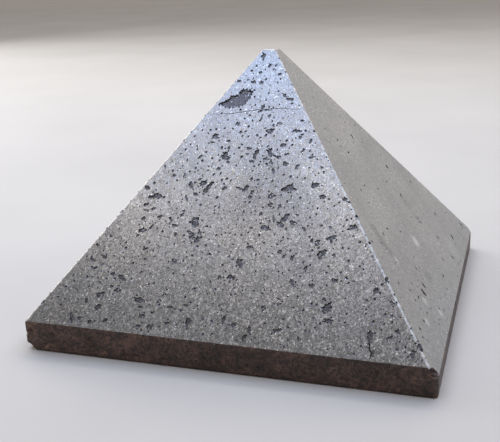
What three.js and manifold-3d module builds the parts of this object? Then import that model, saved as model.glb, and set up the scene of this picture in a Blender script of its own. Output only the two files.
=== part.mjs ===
// A hand lapped hematite pyramid: one solid stone standing on a low upright band.
// Millimetres, +Z up. The resting face lies on z = 0 with its middle at the origin.
// The front slope faces -Y and the right slope faces +X.

import * as THREE from "three";
import { mergeVertices } from "three/addons/utils/BufferGeometryUtils.js";
import Module from "manifold-3d";

// Block sizes
const BASE = 40;
const HALF = BASE / 2;
const APEX_Z = 28.1;
const TIP_Z = 27.25;

// The four sides, named as seen from outside. Hand lapping left the band a little taller at one end
// of a side than at the other, so each slope is set by its band heights and by the shared apex.
const SIDES = [
  { name: "front", turn: 0, bandLeft: 3.0, bandRight: 2.8 },
  { name: "right", turn: 90, bandLeft: 2.0, bandRight: 2.35 },
  { name: "back", turn: 180, bandLeft: 2.5, bandRight: 2.75 },
  { name: "left", turn: 270, bandLeft: 2.7, bandRight: 3.0 },
];

// Ridges between one slope and the next: bevel depth under the sharp edge at the tip and at the band.
// The front right ridge is worn widest towards its foot.
const RIDGES = [
  { first: "front", next: "right", depthTip: 0.05, depthFoot: 0.17 },
  { first: "right", next: "back", depthTip: 0.05, depthFoot: 0.1 },
  { first: "back", next: "left", depthTip: 0.05, depthFoot: 0.1 },
  { first: "left", next: "front", depthTip: 0.05, depthFoot: 0.09 },
];
const BASE_BEVEL = 0.32;
const CORNER_BEVEL = 0.22;

// Pits are open pores of the ore that the lap cut through.
// A small one tapers to a point, and a long one has a floor.
const PIT_RISE = 0.05;
const PIT_DEPTH_MIN = 0.12;
const PIT_DEPTH_SHARE = 0.35;
const PIT_DEPTH_MAX = 0.55;
const PIT_FLOOR_FROM = 0.94;
const PIT_FLOOR_SHARE = 0.7;
const PIT_WIDEST = 1.2;
const PIT_RAGGED = 0.42;
const PIT_LEAN = 0.3;

// Pits of the front slope: along the foot, up the slope, length, width, turn in degrees.
const FRONT_PITS = [
  [-2.38, 25.25, 2.1, 1.6, 22], [-3.75, 24.62, 1.2, 0.6, 18], [-2.67, 24.5, 1.3, 0.6, 12],
  [-1.53, 26.2, 1.05, 0.5, 15], [-2.1, 26.15, 0.7, 0.4, 40], [-0.58, 30.28, 0.75, 0.5, 75],
  [0.3, 29.08, 0.5, 0.4, 60], [0.95, 29.18, 0.36, 0.26, 50], [0.83, 28.67, 0.45, 0.32, -30],
  [1.48, 28.17, 0.5, 0.36, 10], [-0.58, 28.33, 0.42, 0.38, 0], [-1.72, 27.43, 0.4, 0.26, 0],
  [-1.12, 27.23, 0.46, 0.42, 0], [-2.62, 27.28, 0.55, 0.32, 10], [-0.27, 27.15, 0.65, 0.32, 70],
  [2.42, 25.72, 0.75, 0.36, -35], [2.95, 25.35, 0.7, 0.36, -10], [3.3, 24.87, 0.32, 0.26, 30],
  [0.37, 24.33, 0.52, 0.4, 70], [0.83, 24.07, 0.6, 0.22, 10], [0.08, 23.87, 0.42, 0.26, 40],
  [0.42, 23.2, 0.75, 0.3, 70], [1.2, 23.4, 0.42, 0.34, 60], [-1.92, 22.4, 0.62, 0.38, 82],
  [-2.37, 21.83, 0.3, 0.26, 0], [-1.42, 21.48, 0.36, 0.3, 70], [1.55, 21.75, 1.0, 0.52, 20],
  [1.78, 22.38, 0.4, 0.26, 60], [2.38, 22.6, 0.6, 0.32, -12], [4.22, 21.83, 0.82, 0.42, 6],
  [4.7, 21.2, 0.44, 0.36, -30], [4.63, 22.98, 0.46, 0.26, 5], [5.82, 20.8, 0.5, 0.36, 80],
  [-4.05, 20.95, 0.76, 0.66, 60], [-4.25, 20.23, 0.5, 0.24, 0], [-2.55, 20.45, 0.6, 0.26, -5],
  [3.15, 20.25, 0.72, 0.46, 12], [5.17, 19.75, 0.62, 0.3, 55], [6.13, 19.08, 0.52, 0.32, 15],
  [0.28, 21.2, 0.36, 0.34, 0], [-0.32, 19.73, 0.6, 0.36, 8], [0.5, 19.1, 1.25, 0.46, 85],
  [0.22, 18.35, 0.6, 0.32, 8], [1.92, 19.45, 1.05, 0.55, 112], [1.62, 20.02, 0.42, 0.32, 100],
  [2.5, 19.05, 0.62, 0.26, -20], [2.9, 18.9, 0.44, 0.36, 0], [3.63, 19.3, 0.52, 0.26, 5],
  [1.58, 18.7, 0.52, 0.4, 45], [2.17, 18.32, 0.72, 0.32, 110], [2.58, 17.45, 0.72, 0.32, 110],
  [3.67, 18.28, 0.72, 0.46, -20], [4.83, 18.0, 0.56, 0.32, 60], [7.3, 18.07, 0.34, 0.32, 0],
  [-2.58, 18.75, 0.96, 0.86, 30], [-2.17, 18.15, 0.44, 0.32, -20], [-3.03, 17.4, 0.52, 0.4, 5],
  [-3.13, 19.67, 0.42, 0.34, 60], [-2.38, 19.7, 0.42, 0.3, 100], [-5.17, 18.62, 0.76, 0.26, 40],
  [-7.55, 16.4, 0.5, 0.34, 20], [-6.42, 16.4, 0.9, 0.3, 100], [-4.75, 16.15, 0.42, 0.32, 20],
  [-2.0, 16.37, 0.46, 0.24, 40], [0.53, 16.53, 0.5, 0.26, 70], [1.22, 16.4, 0.4, 0.32, 0],
  [6.92, 16.2, 1.02, 0.5, 12], [4.4, 15.72, 1.45, 0.72, 8], [-10.17, 14.93, 0.6, 0.46, -20],
  [-9.05, 14.08, 1.45, 0.6, 4], [-5.57, 15.48, 0.96, 0.46, 125], [-4.33, 15.78, 1.0, 0.5, 30],
  [-3.6, 15.55, 0.82, 0.6, 45], [-3.92, 14.95, 0.62, 0.58, 90], [-2.03, 15.37, 0.52, 0.36, 40],
  [-0.47, 15.4, 0.8, 0.28, -20], [-4.9, 14.53, 0.56, 0.34, 0], [-5.75, 14.05, 0.72, 0.28, 110],
  [-9.88, 13.07, 0.52, 0.4, 40], [-9.75, 12.48, 0.62, 0.28, -10], [-9.0, 12.73, 0.52, 0.32, 10],
  [-9.83, 11.62, 0.66, 0.36, -30], [-8.13, 11.9, 0.56, 0.36, 25], [-6.92, 11.7, 0.62, 0.28, 110],
  [-5.83, 12.28, 0.46, 0.36, 40], [-6.4, 11.13, 0.66, 0.28, -8], [-6.08, 10.2, 0.5, 0.4, 80],
  [-8.8, 10.83, 0.5, 0.34, 50], [-9.67, 10.37, 0.86, 0.5, 30], [-10.0, 9.82, 0.5, 0.22, 5],
  [-4.38, 11.7, 0.95, 0.85, 60], [-4.2, 11.3, 0.72, 0.42, 30], [-4.55, 10.45, 0.9, 0.42, -20],
  [-3.82, 9.8, 0.76, 0.52, 75], [-4.3, 10.0, 0.8, 0.36, -20], [-3.67, 10.55, 0.5, 0.32, -30],
  [-8.87, 8.5, 0.52, 0.34, 10], [-8.72, 7.45, 0.42, 0.3, 30], [-13.0, 7.28, 0.46, 0.4, 0],
  [-14.25, 6.92, 0.7, 0.38, -15], [-13.73, 6.12, 0.52, 0.32, 15], [-5.63, 7.5, 0.62, 0.46, -35],
  [-2.25, 8.5, 0.46, 0.26, 10], [-11.72, 5.67, 0.56, 0.44, 10], [-10.65, 5.35, 0.95, 0.46, -18],
  [-11.55, 4.4, 0.4, 0.36, 0], [-10.88, 4.08, 0.82, 0.42, 10], [-12.58, 3.52, 0.86, 0.5, 20],
  [-13.87, 2.73, 0.46, 0.4, 80], [-12.5, 2.23, 0.96, 0.5, 25], [-8.38, 3.37, 1.3, 0.5, -3],
  [-6.38, 3.4, 0.6, 0.36, 12], [-8.08, 2.67, 0.52, 0.24, -10], [-5.92, 4.12, 0.5, 0.22, 20],
  [-5.17, 2.95, 0.76, 0.24, -5], [-6.72, 2.28, 0.5, 0.24, 25], [-7.75, 1.85, 0.62, 0.42, 0],
  [-5.12, 1.43, 0.56, 0.28, 20], [-7.97, 0.75, 0.72, 0.46, 20], [-6.8, 0.85, 0.66, 0.56, 60],
  [-3.08, 1.65, 1.1, 0.56, 82], [-3.58, 3.28, 0.5, 0.28, 0], [-0.17, 3.37, 0.7, 0.28, -50],
  [-3.08, 4.95, 0.46, 0.26, 20], [-0.83, 6.28, 0.5, 0.36, 0], [-15.0, 0.98, 1.0, 0.46, 110],
  [-14.15, 0.95, 0.6, 0.36, 20], [-13.0, 0.75, 0.46, 0.32, 10], [-11.47, 0.98, 0.56, 0.42, 30],
  [-16.42, 2.0, 0.5, 0.26, -30], [0.17, 15.45, 0.76, 0.5, 60], [0.85, 15.1, 0.62, 0.36, 55],
  [0.7, 14.57, 0.52, 0.4, 10], [2.83, 14.83, 0.76, 0.6, 45], [2.87, 14.0, 0.46, 0.42, 0],
  [3.8, 13.82, 0.56, 0.32, 70], [7.8, 15.1, 0.62, 0.46, -20], [9.95, 14.95, 0.5, 0.46, 0],
  [2.08, 12.95, 0.42, 0.38, 60], [3.45, 12.5, 0.72, 0.28, 110], [4.5, 12.65, 1.15, 0.56, 58],
  [4.15, 12.0, 0.72, 0.5, 5], [5.37, 12.25, 0.76, 0.5, 10], [5.67, 13.07, 0.42, 0.24, -30],
  [2.72, 11.58, 0.96, 0.5, -12], [1.42, 11.45, 0.34, 0.28, 0], [6.5, 11.73, 0.5, 0.34, -30],
  [11.12, 12.23, 0.9, 0.5, 20], [9.25, 11.08, 1.0, 0.42, 15], [8.03, 10.5, 0.72, 0.5, 78],
  [7.42, 10.62, 0.44, 0.4, 0], [8.55, 9.45, 1.15, 0.66, 50], [9.67, 9.4, 0.36, 0.32, 0],
  [1.53, 9.5, 0.6, 0.42, 8], [4.58, 9.32, 0.52, 0.4, 8], [5.05, 8.92, 0.44, 0.28, 70],
  [5.83, 8.82, 0.52, 0.42, 40], [7.25, 7.9, 0.5, 0.36, 100], [0.87, 7.92, 0.96, 0.66, -55],
  [10.08, 7.0, 0.66, 0.46, -15], [14.37, 7.0, 0.42, 0.28, 45], [13.92, 6.37, 0.6, 0.5, 60],
  [6.25, 6.4, 0.8, 0.38, -48], [8.05, 6.33, 0.48, 0.42, 20], [0.3, 6.4, 0.76, 0.56, 8],
  [9.33, 5.2, 0.42, 0.28, 15], [9.75, 4.4, 1.15, 0.76, 55], [10.0, 3.23, 0.96, 0.42, 5],
  [5.3, 4.33, 0.5, 0.24, 5], [3.92, 3.78, 0.52, 0.46, 0], [0.33, 2.37, 0.76, 0.42, 80],
  [1.37, 1.95, 0.52, 0.4, -30], [2.92, 1.62, 0.8, 0.32, 110], [5.58, 1.87, 0.72, 0.36, 20],
  [7.58, 1.32, 0.42, 0.4, 0], [13.87, 2.2, 1.35, 0.5, 98], [15.58, 2.28, 0.62, 0.38, 30],
  [17.75, 1.15, 0.62, 0.46, 30], [16.25, 2.87, 0.6, 0.28, 100], [15.42, 5.45, 0.6, 0.28, -30],
  [2.58, 0.85, 0.7, 0.46, 80], [14.28, 0.75, 0.7, 0.28, 95], [-14.08, 8.45, 0.42, 0.28, 10],
];

// Scattered pits of the other slopes: how many and the longest, then the shortest, how strongly the
// lengths lean towards it, the margin kept from the edges and the space between two pits.
const SCATTER = [
  { side: "right", count: 26, longest: 0.9, seed: 3.1 },
  { side: "back", count: 84, longest: 1.5, seed: 7.7 },
  { side: "left", count: 84, longest: 1.5, seed: 5.3 },
];
const SCATTER_SHORTEST = 0.36;
const SCATTER_LEAN = 2.2;
const SCATTER_MARGIN = 0.9;
const SCATTER_SPACING = 0.25;

// Chips knocked off edges and corners: place, size along X, Y and Z, and a seed for the broken shape.
const CHIPS = [
  { at: [-20.1, -20.1, 0.0], size: [1.5, 1.3, 1.0], seed: 1.3 },
  { at: [-20.35, -20.15, 1.85], size: [0.6, 0.55, 0.45], seed: 2.9 },
  { at: [20.15, -20.1, 2.35], size: [0.75, 0.7, 0.6], seed: 4.1 },
  { at: [20.3, 6.0, 0.0], size: [0.6, 1.6, 0.55], seed: 5.9 },
  { at: [20.1, 20.1, 2.3], size: [0.8, 0.9, 0.6], seed: 6.7 },
  { at: [7.0, 20.25, -0.05], size: [1.9, 0.65, 0.6], seed: 8.3 },
  { at: [-20.1, 20.1, 0.1], size: [1.1, 1.2, 0.9], seed: 9.1 },
  { at: [-20.25, 3.0, -0.05], size: [0.6, 1.4, 0.5], seed: 10.7 },
];

// Nicks on the ridges: which ridge, share of the way from tip to foot, and radius.
const NICKS = [
  { ridge: 0, share: 0.765, radius: 0.42, seed: 11.3 },
  { ridge: 0, share: 0.945, radius: 0.5, seed: 12.1 },
  { ridge: 1, share: 0.35, radius: 0.4, seed: 13.7 },
  { ridge: 1, share: 0.7, radius: 0.5, seed: 14.9 },
  { ridge: 2, share: 0.5, radius: 0.48, seed: 15.1 },
  { ridge: 2, share: 0.86, radius: 0.55, seed: 16.3 },
  { ridge: 3, share: 0.62, radius: 0.38, seed: 17.9 },
];

// Finish of the lapped stone
const STONE_COLOUR = 0x8a8f96;
const STONE_ROUGHNESS = 0.4;
const STONE_METALNESS = 0.0;

const wasm = await Module();
wasm.setup();

// A repeatable number from 0 to 1 for a seed and an index
function chance(seed, index) {
  const wave = Math.sin(seed * 12.9898 + index * 78.233) * 43758.5453;
  return wave - Math.floor(wave);
}

function weld(geometry) {
  geometry.deleteAttribute("normal");
  geometry.deleteAttribute("uv");
  return mergeVertices(geometry, 1e-5);
}

function solidOf(geometry) {
  const vertProperties = new Float32Array(geometry.getAttribute("position").array);
  const triVerts = new Uint32Array(geometry.getIndex().array);
  return new wasm.Manifold(new wasm.Mesh({ numProp: 3, vertProperties, triVerts }));
}

// A large box whose lower face lies in the plane through a point, on the outer side of its normal
function beyondPlane(point, normal) {
  const size = 3 * BASE;
  const box = new THREE.BoxGeometry(size, size, size).translate(0, 0, size / 2);
  const turn = new THREE.Quaternion().setFromUnitVectors(new THREE.Vector3(0, 0, 1), normal);
  box.applyQuaternion(turn);
  box.translate(point.x, point.y, point.z);
  return solidOf(weld(box));
}

// Slope of one side: its middle foot point, unit vectors along the foot, up the slope and outward
function slopeOf(side) {
  const apex = new THREE.Vector3(0, 0, APEX_Z);
  const left = new THREE.Vector3(-HALF, -HALF, side.bandLeft);
  const right = new THREE.Vector3(HALF, -HALF, side.bandRight);
  const axis = new THREE.Vector3(0, 0, 1);
  const angle = THREE.MathUtils.degToRad(side.turn);
  left.applyAxisAngle(axis, angle);
  right.applyAxisAngle(axis, angle);
  const along = right.clone().sub(left).normalize();
  const normal = along.clone().cross(apex.clone().sub(left)).normalize();
  const up = normal.clone().cross(along);
  const foot = left.clone().add(right).multiplyScalar(0.5);
  const length = apex.distanceTo(foot);
  const outward = new THREE.Vector3(0, -1, 0).applyAxisAngle(axis, angle);
  return { foot, along, up, normal, length, outward };
}

const slopes = Object.fromEntries(SIDES.map((side) => [side.name, slopeOf(side)]));

// A ragged pit cutter: a tapered cylinder whose spokes are drawn in or let out
function pitCutter(slope, pit, seed) {
  const [u, v, length, width, turn] = pit;
  const sides = Math.min(14, Math.max(6, Math.round(4 + 4.5 * length)));
  const depth = Math.min(PIT_DEPTH_MAX, PIT_DEPTH_MIN + PIT_DEPTH_SHARE * width);
  const height = PIT_RISE + depth;
  const floor = length < PIT_FLOOR_FROM ? 0 : PIT_FLOOR_SHARE;
  const cutter = weld(new THREE.CylinderGeometry(1, floor, height, sides));
  cutter.translate(0, height / 2 - depth, 0);
  const place = cutter.getAttribute("position");
  const bend = THREE.MathUtils.degToRad(turn);
  const lean = PIT_LEAN * width * (chance(seed, sides) - 0.5);
  for (let i = 0; i < place.count; i += 1) {
    const angle = Math.atan2(place.getZ(i), place.getX(i));
    const spoke = Math.round((angle / (2 * Math.PI)) * sides + sides) % sides;
    const ragged = PIT_WIDEST - PIT_RAGGED * chance(seed, spoke);
    const shift = place.getY(i) < 0 ? lean : 0;
    const a = 0.5 * length * ragged * place.getX(i) + shift;
    const b = shift - 0.5 * width * ragged * place.getZ(i);
    const point = slope.foot.clone();
    point.addScaledVector(slope.along, u + a * Math.cos(bend) - b * Math.sin(bend));
    point.addScaledVector(slope.up, v + a * Math.sin(bend) + b * Math.cos(bend));
    point.addScaledVector(slope.normal, place.getY(i));
    place.setXYZ(i, point.x, point.y, point.z);
  }
  return solidOf(cutter);
}

// Scattered pits of one slope, spaced apart and kept inside its edges
function scatter(slope, plan) {
  const pits = [];
  for (let i = 0; pits.length < plan.count && i < 4000; i += 1) {
    const skew = Math.pow(chance(plan.seed, 5 * i), SCATTER_LEAN);
    const length = SCATTER_SHORTEST + skew * (plan.longest - SCATTER_SHORTEST);
    const v = chance(plan.seed, 5 * i + 1) * slope.length;
    const reach = HALF * (1 - v / slope.length) - SCATTER_MARGIN - length;
    const u = (2 * chance(plan.seed, 5 * i + 2) - 1) * HALF;
    const width = length * (0.45 + 0.35 * chance(plan.seed, 5 * i + 3));
    const turn = 180 * chance(plan.seed, 5 * i + 4);
    const inside = Math.abs(u) < reach && v > SCATTER_MARGIN;
    const apart = (p) => Math.hypot(p[0] - u, p[1] - v) > (p[2] + length) / 2 + SCATTER_SPACING;
    if (inside && pits.every(apart)) {
      pits.push([u, v, length, width, turn]);
    }
  }
  return pits;
}

// A broken lump: an icosahedron with its points moved in and out
function lump(at, size, seed) {
  const geometry = weld(new THREE.IcosahedronGeometry(1, 1));
  const place = geometry.getAttribute("position");
  for (let i = 0; i < place.count; i += 1) {
    const ragged = 0.8 + 0.35 * chance(seed, i);
    const x = at[0] + ragged * size[0] * place.getX(i);
    const y = at[1] + ragged * size[1] * place.getY(i);
    const z = at[2] + ragged * size[2] * place.getZ(i);
    place.setXYZ(i, x, y, z);
  }
  return solidOf(geometry);
}

// Sharp ridge between two slopes: from the apex to the point where it meets the band
function ridgeOf(ridge) {
  const first = slopes[ridge.first];
  const next = slopes[ridge.next];
  const apex = new THREE.Vector3(0, 0, APEX_Z);
  const run = next.normal.clone().cross(first.normal).normalize();
  const down = run.z < 0 ? run : run.negate();
  const reach = HALF / Math.max(Math.abs(down.x), Math.abs(down.y));
  const end = apex.clone().addScaledVector(down, reach);
  const middle = first.normal.clone().add(next.normal).normalize();
  return { apex, end, down, middle };
}

const ridges = RIDGES.map((ridge) => ({ ...ridge, ...ridgeOf(ridge) }));

const cutters = [];

// Slopes, then the blunted tip
for (const slope of Object.values(slopes)) {
  cutters.push(beyondPlane(slope.foot, slope.normal));
}
cutters.push(beyondPlane(new THREE.Vector3(0, 0, TIP_Z), new THREE.Vector3(0, 0, 1)));

// Worn ridges
for (const ridge of ridges) {
  const top = ridge.apex.clone().addScaledVector(ridge.middle, -ridge.depthTip);
  const low = ridge.end.clone().addScaledVector(ridge.middle, -ridge.depthFoot);
  const across = ridge.middle.clone().cross(ridge.down);
  const normal = across.clone().cross(low.clone().sub(top)).normalize();
  const outer = normal.dot(ridge.middle) < 0 ? normal.negate() : normal;
  cutters.push(beyondPlane(top, outer));
}

// Bevels of the resting edges and of the upright corners
const tilt = new THREE.Vector3(0, 0, -1);
for (const slope of Object.values(slopes)) {
  const edge = slope.outward.clone().multiplyScalar(HALF);
  edge.z = BASE_BEVEL;
  cutters.push(beyondPlane(edge, slope.outward.clone().add(tilt).normalize()));
  const corner = slope.outward.clone().add(slope.outward.clone().cross(tilt)).normalize();
  const reach = HALF * Math.SQRT2 - CORNER_BEVEL;
  cutters.push(beyondPlane(corner.clone().multiplyScalar(reach), corner));
}

// Chips and nicks
for (const chip of CHIPS) {
  cutters.push(lump(chip.at, chip.size, chip.seed));
}
for (const nick of NICKS) {
  const ridge = ridges[nick.ridge];
  const place = ridge.apex.clone().lerp(ridge.end, nick.share);
  place.addScaledVector(ridge.middle, 0.45 * nick.radius);
  cutters.push(lump(place.toArray(), [nick.radius, nick.radius, nick.radius], nick.seed));
}

// Pits
FRONT_PITS.forEach((pit, i) => cutters.push(pitCutter(slopes.front, pit, 20 + i)));
for (const plan of SCATTER) {
  const slope = slopes[plan.side];
  scatter(slope, plan).forEach((pit, i) => cutters.push(pitCutter(slope, pit, 40 * plan.seed + i)));
}

const block = solidOf(weld(new THREE.BoxGeometry(BASE, BASE, APEX_Z).translate(0, 0, APEX_Z / 2)));
const stone = block.subtract(wasm.Manifold.union(cutters));

const surface = stone.getMesh();
const geometry = new THREE.BufferGeometry();
geometry.setAttribute("position", new THREE.BufferAttribute(new Float32Array(surface.vertProperties), 3));
geometry.setIndex(new THREE.BufferAttribute(new Uint32Array(surface.triVerts), 1));
geometry.computeVertexNormals();

const pyramid = new THREE.Mesh(
  geometry,
  new THREE.MeshStandardMaterial({
    color: STONE_COLOUR,
    roughness: STONE_ROUGHNESS,
    metalness: STONE_METALNESS,
  }),
);
pyramid.name = "pyramid";

const part = new THREE.Group();
part.name = "hematite_pyramid";
part.add(pyramid);

export default part;
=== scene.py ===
# %% [markdown]
# # A lapped hematite pyramid
# The stone is one solid piece of massive iron ore. It was sawn to a block, ground to four slopes on a
# flat lap with loose grit, and rubbed to a satin shine. It could be pulled out of a cube by hand, but a
# lapped stone is nothing except flat planes and the pores they cut open. So this lesson writes down the
# planes, works out where they meet, and then takes the pores out of the solid. All sizes are in
# millimetres until the last mesh is made, because that is how a stone is measured.

# %% The frame that the stone has to fit
from itertools import combinations

import bmesh
import bpy
import numpy as np
from mathutils import Matrix, Vector


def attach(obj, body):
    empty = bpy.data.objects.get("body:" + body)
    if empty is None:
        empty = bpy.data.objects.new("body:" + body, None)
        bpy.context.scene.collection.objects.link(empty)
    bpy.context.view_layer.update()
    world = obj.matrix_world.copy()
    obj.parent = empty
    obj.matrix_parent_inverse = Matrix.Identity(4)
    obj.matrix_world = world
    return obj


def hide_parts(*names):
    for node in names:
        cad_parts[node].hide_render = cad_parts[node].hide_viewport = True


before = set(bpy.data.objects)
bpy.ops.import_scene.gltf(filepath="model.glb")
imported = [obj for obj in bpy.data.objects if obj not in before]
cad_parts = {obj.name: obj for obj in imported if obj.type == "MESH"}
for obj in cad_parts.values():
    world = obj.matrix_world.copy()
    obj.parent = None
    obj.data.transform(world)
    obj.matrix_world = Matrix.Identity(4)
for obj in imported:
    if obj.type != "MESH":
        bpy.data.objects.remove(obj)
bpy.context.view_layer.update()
MM = 0.001

# %% [markdown]
# ## The ground planes
# Each slope runs from the shared apex down to the upright band that is left of the sawn block. Hand
# lapping never keeps a band even, so a slope is set by three points: the apex, and the top of the band at
# both ends of its side. Sides are counted front, right, back, left, and each is looked at from outside.
# The right slope was lapped deeper at its near end, which is why the ridge between it and the front
# misses the corner below.

# %% Slopes from three points each
BASE = 40.0
HALF = BASE / 2
APEX = np.array([0.0, 0.0, 28.1])
TIP_HEIGHT = 27.25
BAND_LEFT = np.array([3.0, 2.0, 2.5, 2.7])
BAND_RIGHT = np.array([2.8, 2.35, 2.75, 3.0])
UP = np.array([0.0, 0.0, 1.0])


def unit(vectors):
    """Vectors divided by their own lengths."""
    return vectors / np.linalg.norm(vectors, axis=-1, keepdims=True)


quarter = np.radians([0, 90, 180, 270])
level = np.stack([np.cos(quarter), np.sin(quarter), np.zeros(4)], 1)
outward = np.stack([np.sin(quarter), -np.cos(quarter), np.zeros(4)], 1)
left_foot = HALF * (outward - level) + BAND_LEFT[:, None] * UP
right_foot = HALF * (outward + level) + BAND_RIGHT[:, None] * UP
foot = (left_foot + right_foot) / 2
along = unit(right_foot - left_foot)
lapped = unit(np.cross(along, APEX - left_foot))
slope_length = np.linalg.norm(APEX - foot, axis=1)
print("slopes, degrees:", np.degrees(np.arccos(lapped[:, 2])).round(2))

# %% [markdown]
# ## Worn edges
# A lapped edge is sharp for a moment only. Handling and the last rub round it off, and the rounded line
# is what glints in the light. A Bevel modifier could do it, but here every edge has its own wear, and a
# ridge grows wider towards its foot. So each edge gets a few more planes, which touch a small cylinder
# lying along the edge.

# %% Planes that round an edge
def worn_planes(first, second, start, end, round_start, round_end, count):
    """Planes that round off the edge between two faces, as normals and offsets.

    A normal is a mix of the two faces' normals. It is set back from the edge by the radius times (its share
    of the bisector over the cosine of the half angle, less one), so that it touches a cylinder of that
    radius lying inside both faces. Where the radius grows, the normal leans along the edge by the growth of
    the set back over the edge's length.
    """
    share = np.arange(1, count + 1)[:, None] / (count + 1)
    normal = unit((1 - share) * first + share * second)
    bisector = unit(first + second)
    gain = normal @ bisector / (first @ bisector) - 1
    run = end - start
    length = np.linalg.norm(run)
    lean = (round_end - round_start) * gain / length
    leaned = unit(normal + lean[:, None] * run / length)
    touching = start - round_start * gain[:, None] * normal
    return leaned, np.sum(leaned * touching, axis=1)


# %% Ridges and tip, rubbed bright
RIDGE_ROUND_TIP = 0.14
RIDGE_ROUND_FOOT = np.array([0.46, 0.45, 0.45, 0.4])
TIP_ROUND = 0.5
ridges, tip_edges = [], []
for side in range(4):
    after = (side + 1) % 4
    run = unit(np.cross(lapped[side], lapped[after]))
    run = run * -np.sign(run[2])
    ridge_foot = APEX + run * HALF / np.abs(run[:2]).max()
    ridge_round = RIDGE_ROUND_TIP, RIDGE_ROUND_FOOT[side]
    ridges.append((lapped[side], lapped[after], APEX, ridge_foot, *ridge_round, 4))
    tip_share = (APEX[2] - TIP_HEIGHT) / (APEX[2] - foot[side][2])
    tip_ends = [APEX + tip_share * (end - APEX) for end in (left_foot[side], right_foot[side])]
    tip_edges.append((lapped[side], UP, *tip_ends, TIP_ROUND, TIP_ROUND, 3))
print("ridge lengths, mm:", [round(float(np.linalg.norm(ridge[3] - APEX)), 2) for ridge in ridges])

# %% Edges of the sawn band
CORNER_ROUND = np.array([0.6, 0.45, 0.45, 0.25])
BASE_ROUND = 0.3
SHOULDER_ROUND = 0.25
shoulders, corners, base_edges = [], [], []
for side in range(4):
    after = (side + 1) % 4
    feet = left_foot[side], right_foot[side]
    shoulders.append((lapped[side], outward[side], *feet, SHOULDER_ROUND, SHOULDER_ROUND, 2))
    corner = HALF * (outward[side] + outward[after])
    corner_top = corner + min(BAND_RIGHT[side], BAND_LEFT[after]) * UP
    corners.append((outward[side], outward[after], corner, corner_top, *[CORNER_ROUND[side]] * 2, 3))
    low_ends = HALF * (outward[side] - level[side]), HALF * (outward[side] + level[side])
    base_edges.append((outward[side], -UP, *low_ends, BASE_ROUND, BASE_ROUND, 3))
bright_edges = ridges + tip_edges
dull_edges = shoulders + corners + base_edges
print("edges rubbed bright:", len(bright_edges), "edges left dull:", len(dull_edges))

# %% [markdown]
# ## One solid from all the planes
# The stone is every point that lies behind all of the planes. Its corners are points where three planes
# meet, so every three planes are solved at once as one stack of small equation systems, and only the
# points in front of no plane are kept. The skin stretched over those corners is the freshly cut stone.

# %% Points where three planes meet
PARALLEL = 1e-6
ON_PLANE = 1e-7


def corner_points(normals, offsets):
    """Points shared by three planes that lie in front of none of the others."""
    trio = np.array(list(combinations(range(len(normals)), 3)))
    systems = normals[trio]
    meets = np.abs(np.linalg.det(systems)) > PARALLEL
    points = np.linalg.solve(systems[meets], offsets[trio[meets]][..., None])[..., 0]
    behind = (points @ normals.T <= offsets + ON_PLANE).all(axis=1)
    return np.unique(points[behind].round(6), axis=0)


LAPPED, SAWN, WORN, BROKEN = range(4)
flat_normals = np.concatenate([lapped, UP[None], outward, -UP[None]])
flat_points = np.concatenate([foot, TIP_HEIGHT * UP[None], HALF * outward, np.zeros((1, 3))])
bright_planes = [worn_planes(*edge) for edge in bright_edges]
dull_planes = [worn_planes(*edge) for edge in dull_edges]
normals = np.concatenate([flat_normals, *[found for found, _ in bright_planes + dull_planes]])
flat_offsets = np.sum(flat_normals * flat_points, axis=1)
offsets = np.concatenate([flat_offsets, *[found for _, found in bright_planes + dull_planes]])
bright_count = sum(len(found) for _, found in bright_planes)
dull_count = sum(len(found) for _, found in dull_planes)
kind_of_plane = np.repeat([LAPPED, SAWN, WORN, SAWN], [5, 5, bright_count, dull_count])
points = corner_points(normals, offsets)
print("planes:", len(normals), "corner points:", len(points))


# %% Skin over the corner points
def mesh_object(name, points, faces=()):
    """A new object holding an array of points and rows of corner numbers."""
    mesh = bpy.data.meshes.new(name)
    mesh.from_pydata(points, [], faces)
    mesh.update()
    made = bpy.data.objects.new(name, mesh)
    bpy.context.scene.collection.objects.link(made)
    return made


# The faces are cut into squares too, because one huge face with hundreds of holes would not fill cleanly.
SQUARE = 1.3
FIRST_CUT = 0.7 - HALF
SAME_PLANE = 0.0005
stone = mesh_object("stone", points)
skin = bmesh.new()
skin.from_mesh(stone.data)
bmesh.ops.convex_hull(skin, input=skin.verts)
bmesh.ops.dissolve_limit(skin, angle_limit=SAME_PLANE, verts=skin.verts, edges=skin.edges)
for across in np.eye(3):
    for cut in np.arange(FIRST_CUT, TIP_HEIGHT, SQUARE):
        everything = [*skin.verts, *skin.edges, *skin.faces]
        bmesh.ops.bisect_plane(skin, geom=everything, plane_co=cut * across, plane_no=across)
bmesh.ops.recalc_face_normals(skin, faces=skin.faces)
skin.to_mesh(stone.data)
skin.free()
print("cut stone faces:", len(stone.data.polygons))

# %% [markdown]
# ## Open pits
# Massive ore is full of small pores. Where the lap opens one, it leaves a ragged dark pit with a sharp
# rim. A dark pattern in the material would look painted on from the side, so the pits are real hollows.
# Each is cut by a closed bowl: a short profile carried round a ragged loop. All bowls of a kind are
# worked out together. A place on the stone is given by its surface, how far along the foot and how far
# up: surfaces 0 to 3 are the slopes, and 4 to 7 are the four sides of the band under them.

# %% Places on the eight surfaces
surface_foot = np.concatenate([foot, HALF * outward])
surface_along = np.concatenate([along, level])
surface_normal = np.concatenate([lapped, outward])
surface_up = np.cross(surface_normal, surface_along)


def on_surface(surface, flat, height):
    """Points off a surface: the middle of its foot plus u along it, v up it and a height off it."""
    u, v = flat[..., 0, None], flat[..., 1, None]
    spread = u * surface_along[surface] + v * surface_up[surface]
    return surface_foot[surface] + (spread + height[..., None] * surface_normal[surface])


print("surfaces:", len(surface_foot))


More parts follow.
